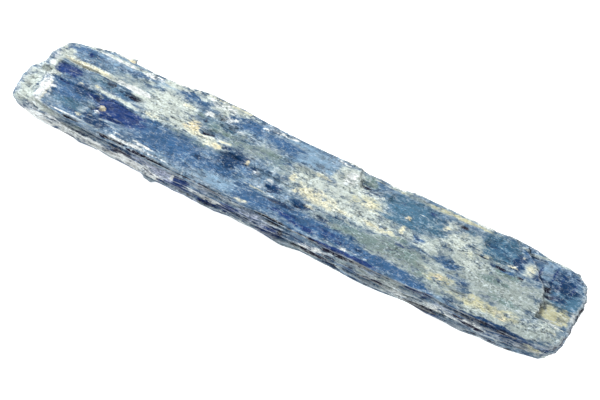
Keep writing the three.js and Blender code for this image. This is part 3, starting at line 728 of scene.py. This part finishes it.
# Painted shade on the broken right end, which faces away from the lamp, strongest on the uppermost leaves.
right_break = ramp(0.25, 0.55, broad_normals[:, 0]) * ramp(half_length - 6, half_length - 3, x)
end_shade = np.maximum(0.3 + 0.75 * noise(88, 0.0, y / 3, z / 0.45), 0.95 * ramp(TOP - 2.2, TOP - 1.3, z))
elsewhere = {
    "drab": 0.25 + 0.5 * noise(84, x / 18, y / 3, z / 3),
    "sky": 0.25 + 0.4 * patchwork,
    "olive": 0.2 + 0.45 * noise(76, x / 14, y / 2.5, z / 2.5),
    "lilac": 0.3 + 0.4 * leaf_tint,
    "pale": 0.36 + 0.3 * leaf_tint + 0.45 * patchwork,
    "steel": 0.3 + 0.5 * noise(85, x / 14, y / 2, z / 1.5),
    "teal": 0.1 + 0.5 * noise(86, x / 12, y / 3, z / 2),
    "navy": 0.3 - 0.35 * leaf_tint + 0.35 * noise(75, x / 12, y / 2.0, z / 1.5),
    "royal": 0.05 - 0.3 * leaf_tint + 0.6 * noise(78, x / 7, y / 1.4, z / 0.8),
    "straw": -0.1 + 0.6 * noise(87, x / 9, y / 2, z / 2),
    "cream": -0.1 + 0.4 * patchwork + 0.5 * noise(77, x / 5, y / 2, z / 1.5),
    "chalk": -0.1 + 0.4 * leaf_tint + 0.7 * noise(79, x / 5, y / 1.2, z / 0.3),
    "tan": -0.35 + 0.9 * noise(80, x / 3, y / 1.2, z / 1.0),
    # painted shade on the broken right end
    "dark": np.maximum(end_shade * right_break, 0.15 + 0.95 * noise(81, x / 6, 0.0, z / 0.2)),
}
print(f"{len(elsewhere)} colours chosen by noise")

# %% [markdown]
# ## One number per colour and point
#
# On the top face only the marks count, and on the front side the marks with the noise between them. The
# royal blue spots there keep the noise off. Four more numbers give each scale a shade of its own and say
# where the face is a clean window, a hollow or a sharp edge, because the finish needs those too.

# %% Join marks and noise, and store the numbers
FRONT_REST = 0.85  # how much of the noise's choice shows between the marks on the front side
ROYAL_CLEARS = 0.85  # how much of it a royal blue spot removes there
RIM_CLEARS = 0.8  # how much of it the rear rim removes
RIM_ON_SIDE = {"pale": 0.7, "cream": 0.6, "chalk": 0.5}
CLEAN_COLOURS = ("sky", "steel", "teal", "navy", "royal")


def store(name, value):
    skin.attributes.new(name, "FLOAT", "POINT").data.foreach_set("value", value.astype(np.float32))


# The pale rim runs down the rear side as frayed leaves and painted highlight.
rear_rim = rim * ramp(TOP - 2.8, TOP - 1.4, z)
royal_spots = facing_front * np.clip(placed["royal"], 0, 1)
colour_numbers = {}
for name, field in placed.items():
    rest = np.clip(elsewhere[name], 0, 1) * (1 - RIM_CLEARS * rear_rim)
    if name != "royal":
        rest *= 1 - ROYAL_CLEARS * royal_spots
    if name in RIM_ON_SIDE:
        rest = np.maximum(rest, RIM_ON_SIDE[name] * rear_rim)
    side = rest + facing_front * (np.maximum(field, FRONT_REST * rest) - rest)
    colour_numbers[name] = np.clip(side + facing_up * (field - side), 0, 1)
    store(name, colour_numbers[name])
store("clean", np.max([colour_numbers[name] for name in CLEAN_COLOURS], axis=0))
store("scale", 0.5 + 0.5 * scales)
store("hollow", ramp(0.015, 0.16, sunk))
store("edge", ramp(0.015, 0.10, -sunk))
print("numbers on the skin:", [layer.name for layer in skin.attributes if layer.data_type == "FLOAT"])

# %% [markdown]
# ## The piece
#
# The sculpted skin is scaled to metres and becomes the one visible piece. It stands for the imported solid,
# which stays hidden and keeps its job in collision.

# %% Make the blade
skin.transform(Matrix.Scale(MM, 4))
skin.polygons.foreach_set("use_smooth", [True] * len(skin.polygons))
blade = bpy.data.objects.new("kyanite_surface", skin)
bpy.context.scene.collection.objects.link(blade)
print(f"{blade.name}: {2 * len(skin.polygons)} triangles")

# %% [markdown]
# ## Sums for the finish
#
# A finish is a graph of nodes, and most of them only add and multiply. The class below wraps a node's
# output, so that such sums are written as Python. Its `make` method adds any other kind of node.

# %% Write the shader sums
class Value:
    """A shader socket. Python's own operators on it add Math nodes."""

    def __init__(self, tree, socket=None):
        self.tree = tree
        self.socket = socket

    def make(self, kind, settings=None, inputs=None, output=0):
        """Any node: its type, then its settings, then its sockets' values or links."""
        node = self.tree.nodes.new(kind)
        for name, setting in (settings or {}).items():
            setattr(node, name, setting)
        for key, given in (inputs or {}).items():
            if isinstance(given, Value):
                self.tree.links.new(given.socket, node.inputs[key])
            else:
                node.inputs[key].default_value = given
        return Value(self.tree, node.outputs[output] if node.outputs else None)

    def sum(self, operation, first, second):
        return self.make("ShaderNodeMath", {"operation": operation}, {0: first, 1: second})

    def __add__(self, other):
        return self.sum("ADD", self, other)

    def __radd__(self, other):
        return self.sum("ADD", other, self)

    def __sub__(self, other):
        return self.sum("SUBTRACT", self, other)

    def __rsub__(self, other):
        return self.sum("SUBTRACT", other, self)

    def __mul__(self, other):
        return self.sum("MULTIPLY", self, other)

    def __rmul__(self, other):
        return self.sum("MULTIPLY", other, self)

    def cut(self, low, high):
        """A smooth step from 0 at low to 1 at high."""
        return self.make(
            "ShaderNodeMapRange", {"interpolation_type": "SMOOTHSTEP"},
            {"Value": self, "From Min": low, "From Max": high, "To Min": 0.0, "To Max": 1.0},
        )

    def mix(self, under, over):
        """The colour under, covered by the colour over as far as this value says."""
        return self.make(
            "ShaderNodeMix", {"data_type": "RGBA", "clamp_factor": True},
            {0: self, 6: under, 7: over}, output=2,
        )

    def brighten(self, colour):
        """The colour times this value."""
        return self.make("ShaderNodeVectorMath", {"operation": "SCALE"}, {0: colour, "Scale": self})


# %% [markdown]
# ## Colours as seen
#
# It is easier to name a colour as it should look in the finished picture than as the stone's own share of
# reflected light. The stage is lit a little brighter than plain white, and the surface mirrors a little
# light of its own, so both are taken off again here.

# %% Turn a seen colour into the stone's own
KEY_LIGHT = 1.38  # how much brighter than pure white the stage is lit
SHEEN = 0.022  # the light that the surface mirrors on top of its own colour


def stone(red, green, blue):
    """A colour as it should look on the lit stage, from 0 to 255 for each part, as the stone's own colour."""
    def own(part):
        part /= 255
        seen = part / 12.92 if part <= 0.04045 else ((part + 0.055) / 1.055) ** 2.4
        return max(seen - SHEEN, 0.004) / KEY_LIGHT

    return (own(red), own(green), own(blue), 1.0)


print("steel blue is", [round(part, 3) for part in stone(86, 119, 153)])

# %% [markdown]
# ## The colours of kyanite
#
# The skin carries one number for each of these colours, and the finish lays them over each other from the
# first to the last. A number counts from its low cut and is full at its high cut. The range between the
# cuts is wide, because the real patches melt into each other.

# %% Choose the colours
STEEL_DARK, STEEL_LIGHT = (76, 106, 138), (118, 146, 170)
COLOURS = {  # name: the colour, and where its number is cut
    "drab": ((164, 176, 172), 0.20, 0.80),
    "sky": ((134, 164, 188), 0.20, 0.80),
    "olive": ((118, 138, 136), 0.20, 0.80),
    "lilac": ((190, 198, 220), 0.20, 0.80),
    "pale": ((200, 210, 202), 0.22, 0.80),
    "steel": ((70, 106, 146), 0.22, 0.76),
    "teal": ((84, 121, 146), 0.22, 0.76),
    "navy": ((38, 72, 108), 0.24, 0.76),
    "royal": ((8, 69, 123), 0.24, 0.68),
    "straw": ((196, 195, 162), 0.26, 0.80),
    "cream": ((224, 222, 194), 0.32, 0.84),
    "chalk": ((236, 241, 239), 0.34, 0.84),
    "tan": ((236, 224, 186), 0.36, 0.90),
    # dark: dark seams, and painted shade in the clefts and under the steps
    "dark": ((32, 44, 62), 0.34, 0.80),
}
DARK_COLOURS = ("steel", "teal", "navy", "royal", "dark")
HAZE, VEIL = (194, 206, 212), (140, 156, 154)
WHITE_THREAD, DARK_THREAD = (204, 220, 234), (40, 56, 78)
# the flake borders' colour is partly parting lines and partly a painted highlight on the flakes' edges
FRAYED, FLAKE_PARTING_AND_HIGHLIGHT, CROSS_TICK = (214, 222, 220), (216, 226, 228), (220, 228, 230)
# painted shade for the hollows
HOLLOW_SHADE = (36, 46, 58)
print(f"{len(COLOURS)} colours over steel blue")

# %% [markdown]
# ## Fibres and flakes
#
# Two kinds of pattern make the stone's grain. Noise that is drawn out along the blade gives fibres, from
# thin threads to long bundles, and a bent Voronoi pattern gives small flakes, each with a number of its
# own. Their sum is the grain, which runs above and below zero. Every pattern reads Object coordinates, so
# it stays on the stone.

# %% Start the finish and its patterns
FLAKE_TURN = 4.0  # the flakes lie at this angle to the blade, in degrees
FLAKE_BEND = 0.7  # how far noise bends a flake's border, in flakes

finish = bpy.data.materials.new("kyanite")
finish.use_nodes = True
finish.node_tree.nodes.clear()
start = Value(finish.node_tree)
place = start.make("ShaderNodeTexCoord", output=3)


def drawn_out(length, width, shift, turn):
    """The place on the stone, counted in cells of this length and width in millimetres."""
    return start.make(
        "ShaderNodeMapping", {"vector_type": "POINT"},
        {
            "Vector": place,
            "Location": (shift, shift, shift),
            "Rotation": (0.0, 0.0, math.radians(turn)),
            "Scale": (1 / (length * MM), 1 / (width * MM), 1 / (width * MM)),
        },
    )


def streaks(length, width, detail=3.0, roughness=0.6, shift=0.0, turn=0.0):
    """Noise in cells of this length and width."""
    return start.make(
        "ShaderNodeTexNoise", {"noise_dimensions": "3D"},
        {
            "Vector": drawn_out(length, width, shift, turn),
            "Scale": 1.0,
            "Detail": detail,
            "Roughness": roughness,
        },
    )


def broken(length, width, feature, output, shift):
    """Cells like broken scales: a random number for each cell, or the distance to its border."""
    straight = drawn_out(length, width, shift, FLAKE_TURN)
    wobble = start.make(
        "ShaderNodeTexNoise", inputs={"Vector": straight, "Scale": 2.0, "Detail": 3.0}, output=1,
    )
    bent = start.make(
        "ShaderNodeVectorMath", {"operation": "MULTIPLY_ADD"}, {0: wobble, 1: (FLAKE_BEND,) * 3, 2: straight},
    )
    return start.make(
        "ShaderNodeTexVoronoi", {"voronoi_dimensions": "3D", "feature": feature},
        {"Vector": bent, "Scale": 1.0}, output=output,
    )


def layer(name):
    """One of the numbers that the skin carries."""
    return start.make("ShaderNodeAttribute", {"attribute_name": name, "attribute_type": "GEOMETRY"}, output=2)


print("the finish reads its place from", place.socket.name)

# %% Draw the fibres and flakes
FLAKE_LENGTH, FLAKE_WIDTH, FLAKE_SHIFT = 1.7, 0.8, 13.0

flakes = broken(FLAKE_LENGTH, FLAKE_WIDTH, "F1", 1, FLAKE_SHIFT)
chips = broken(0.7, 0.38, "F1", 1, 29.0)
flake_border = broken(FLAKE_LENGTH, FLAKE_WIDTH, "DISTANCE_TO_EDGE", 0, FLAKE_SHIFT)
bundles = streaks(2.2, 0.6, shift=3.0)
threads = streaks(0.75, 0.18, shift=11.0)
mottle = streaks(1.2, 0.7, detail=6.0, roughness=0.72, shift=23.0)
specks = streaks(0.36, 0.24, detail=2.0, shift=31.0)
ticks = streaks(0.14, 1.1, detail=1.0, shift=43.0)
drift = streaks(8.0, 1.6, detail=4.0, shift=5.0)
scale, clean, royal = layer("scale"), layer("clean"), layer("royal")
edge, hollow = layer("edge"), layer("hollow")

grain = 0.6 * (bundles - 0.5) + 0.7 * (threads - 0.5) + 0.6 * (mottle - 0.5) + 0.4 * (specks - 0.5)
grain = grain + 0.5 * (drift - 0.5)
grain = grain + 0.6 * (flakes - 0.5) + 0.5 * (chips - 0.5) + 0.3 * (scale - 0.5)
print(f"{len(finish.node_tree.nodes)} nodes draw the grain")

# %% [markdown]
# ## One colour over the other
#
# Steel blue lies under everything, with a haze of pale fibres and a grey-green veil. Then each colour's
# number is multiplied by the grain and cut, so that a patch ends in fibres and flakes. The grain makes a
# pale patch grow where it makes a dark one shrink, so the same thread stays pale from one patch into the
# next.

# %% Lay the colours
tone = (drift + 0.8 * (bundles - 0.5) + 0.8 * (mottle - 0.5)).cut(0.3, 0.7)
colour = tone.mix(stone(*STEEL_DARK), stone(*STEEL_LIGHT))
haze = streaks(5.0, 1.1, detail=5.0, roughness=0.65, shift=83.0) + 0.5 * (threads - 0.5)
colour = (haze.cut(0.46, 0.72) * (0.45 - 0.4 * royal)).mix(colour, stone(*HAZE))
veil = streaks(4.0, 1.5, detail=4.0, shift=97.0) + 0.4 * (mottle - 0.5)
colour = (veil.cut(0.5, 0.72) * 0.35).mix(colour, stone(*VEIL))
spread, shrink = 1.0 + 1.2 * grain, 1.0 - 0.8 * grain
for name, (shade, low_cut, high_cut) in COLOURS.items():
    coverage = layer(name) * (shrink if name in DARK_COLOURS else spread)
    colour = coverage.cut(low_cut, high_cut).mix(colour, stone(*shade))
print(f"{len(finish.node_tree.nodes)} nodes with the colours")

# %% [markdown]
# ## Threads, borders and brightness
#
# Fine lines come last. Edges are frayed pale, hollows get painted shade, single threads are white or dark,
# flakes have pale borders that are partly parting lines and partly painted highlights on their edges, and a
# few short ticks cross the fibres, where the crystal also likes to part. Grit then varies the brightness as
# painted light and shade, which reads as many tiny facets that catch the light or miss it. The white
# threads, the borders and the grit are fainter on the clean windows.

# %% Draw the fine lines
frayed = (edge + 0.6 * (threads - 0.5)).cut(0.4, 1.0)
colour = (frayed * 0.4).mix(colour, stone(*FRAYED))
white_threads = streaks(0.6, 0.15, detail=2.0, shift=57.0, turn=8.0) + 0.4 * (mottle - 0.5)
white_share = 0.6 - 0.25 * clean - 0.25 * royal
colour = (white_threads.cut(0.60, 0.68) * white_share).mix(colour, stone(*WHITE_THREAD))
dark_threads = streaks(0.65, 0.16, detail=2.0, shift=71.0, turn=-5.0) + 0.4 * (mottle - 0.5)
colour = (dark_threads.cut(0.62, 0.70) * 0.6).mix(colour, stone(*DARK_THREAD))
# Partly painted highlight: the flakes' pale borders stand for their lit edges as well as for parting lines.
parting_and_highlight = (1.0 - flake_border.cut(0.0, 0.07)) * mottle.cut(0.40, 0.60) * (0.55 - 0.4 * clean)
colour = parting_and_highlight.mix(colour, stone(*FLAKE_PARTING_AND_HIGHLIGHT))
cross = ticks.cut(0.60, 0.75) * bundles.cut(0.5, 0.62)
colour = (cross * 0.35).mix(colour, stone(*CROSS_TICK))
# Painted shade: the hollows are darkened with this colour.
painted_hollow_shade = (hollow + 0.4 * (threads - 0.5)).cut(0.3, 1.0)
colour = (painted_hollow_shade * 0.4).mix(colour, stone(*HOLLOW_SHADE))
print(f"{len(finish.node_tree.nodes)} nodes with the lines")

# %% Vary the brightness
crushed = streaks(5.0, 1.6, detail=3.0, shift=101.0).cut(0.42, 0.6) * 0.7 + 0.3
# Painted light and shade: the grit brightens and darkens the colour like tiny facets that catch the light or
# lie in shade.
grit = 0.9 * (threads - 0.5) + 1.4 * (mottle - 0.5) + 2.8 * (specks - 0.5) + 0.4 * (bundles - 0.5)
sparkle = 1.04 + (1.0 - 0.45 * clean) * crushed * grit
sparkle = sparkle + 0.32 * (flakes - 0.5) + 0.32 * (chips - 0.5) + 0.36 * (scale - 0.5)
colour = sparkle.brighten(colour)
print(f"{len(finish.node_tree.nodes)} nodes with the brightness")

# %% [markdown]
# ## Gloss and fine relief
#
# A cleavage face of kyanite shines like glass or a pearl, but a raw one is scuffed, so the gloss is held
# back and is dullest in the hollows. The threads are too thin for the skin's cells, so a bump of a few
# hundredths of a millimetre gives them their relief. What is the same everywhere is set on the shader's own
# sockets.

# %% Set the gloss and give the blade its finish
BUMP_DEPTH = 0.06 * MM

height = 0.6 * threads + 0.5 * mottle + 0.6 * specks + 0.25 * ticks
bump = start.make("ShaderNodeBump", inputs={"Strength": 0.6, "Distance": BUMP_DEPTH, "Height": height})
dull = 0.45 + 0.25 * (mottle - 0.5) + 0.2 * hollow
shader = start.make(
    "ShaderNodeBsdfPrincipled", {"distribution": "MULTI_GGX"},
    {"Base Color": colour, "Roughness": dull, "IOR": 1.5, "Specular IOR Level": 0.12, "Normal": bump},
)
start.make("ShaderNodeOutputMaterial", {"target": "ALL"}, {"Surface": shader})
blade.data.materials.clear()
blade.data.materials.append(finish)
print(f"finish: {len(finish.node_tree.nodes)} nodes")

# %% [markdown]
# ## The stage
#
# A wide white floor and a white world give the even, shadowless light that mineral pictures are taken in.
# One large lamp from behind on the left models the steps, and a weaker one in front keeps the side from
# going dark.

# %% Build the floor, the lamps and the world
FLOOR_SIZE = 6.0
SEEN_WORLD = 1.0
LIGHTING_WORLD = 0.4
PAPER_GLOW = 0.72  # the paper lies on a light table

floor_mesh = bpy.data.meshes.new("floor")
floor_shape = bmesh.new()
bmesh.ops.create_grid(floor_shape, x_segments=1, y_segments=1, size=FLOOR_SIZE / 2)
floor_shape.to_mesh(floor_mesh)
floor_shape.free()
floor = bpy.data.objects.new("floor", floor_mesh)
bpy.context.scene.collection.objects.link(floor)

paper = bpy.data.materials.new("white paper")
paper.use_nodes = True
paper_shader = paper.node_tree.nodes["Principled BSDF"]
paper_shader.inputs["Base Color"].default_value = (0.93, 0.93, 0.94, 1)
paper_shader.inputs["Roughness"].default_value = 0.9
paper_shader.inputs["Specular IOR Level"].default_value = 0.1
paper_shader.inputs["Emission Color"].default_value = (1, 1, 1, 1)
paper_shader.inputs["Emission Strength"].default_value = PAPER_GLOW
floor.data.materials.append(paper)


def add_lamp(name, place, size, power):
    """A square lamp that points at the middle of the blade."""
    lamp = bpy.data.objects.new(name, bpy.data.lights.new(name, "AREA"))
    lamp.data.size = size
    lamp.data.energy = power
    lamp.location = place
    lamp.rotation_euler = (-Vector(place)).to_track_quat("-Z", "Y").to_euler()
    bpy.context.scene.collection.objects.link(lamp)


add_lamp("window", (-0.6, 0.4, 0.6), 0.35, 13.0)
add_lamp("fill", (0.5, -0.7, 0.7), 0.7, 4.0)
world = bpy.data.worlds.new("white room")
world.use_nodes = True
world.node_tree.nodes.clear()
room = Value(world.node_tree)
seen = room.make("ShaderNodeBackground", inputs={"Color": (1.0, 1.0, 1.0, 1), "Strength": SEEN_WORLD})
lighting = room.make(
    "ShaderNodeBackground", inputs={"Color": (0.95, 0.97, 1.0, 1), "Strength": LIGHTING_WORLD},
)
is_seen = room.make("ShaderNodeLightPath", output=0)
either = room.make("ShaderNodeMixShader", inputs={0: is_seen, 1: lighting, 2: seen})
room.make("ShaderNodeOutputWorld", inputs={"Surface": either})
bpy.context.scene.world = world
bpy.context.scene.view_settings.view_transform = "Standard"
print("stage is lit")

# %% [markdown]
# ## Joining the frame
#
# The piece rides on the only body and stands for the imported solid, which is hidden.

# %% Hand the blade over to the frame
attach(blade, "root")
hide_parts(NODE)
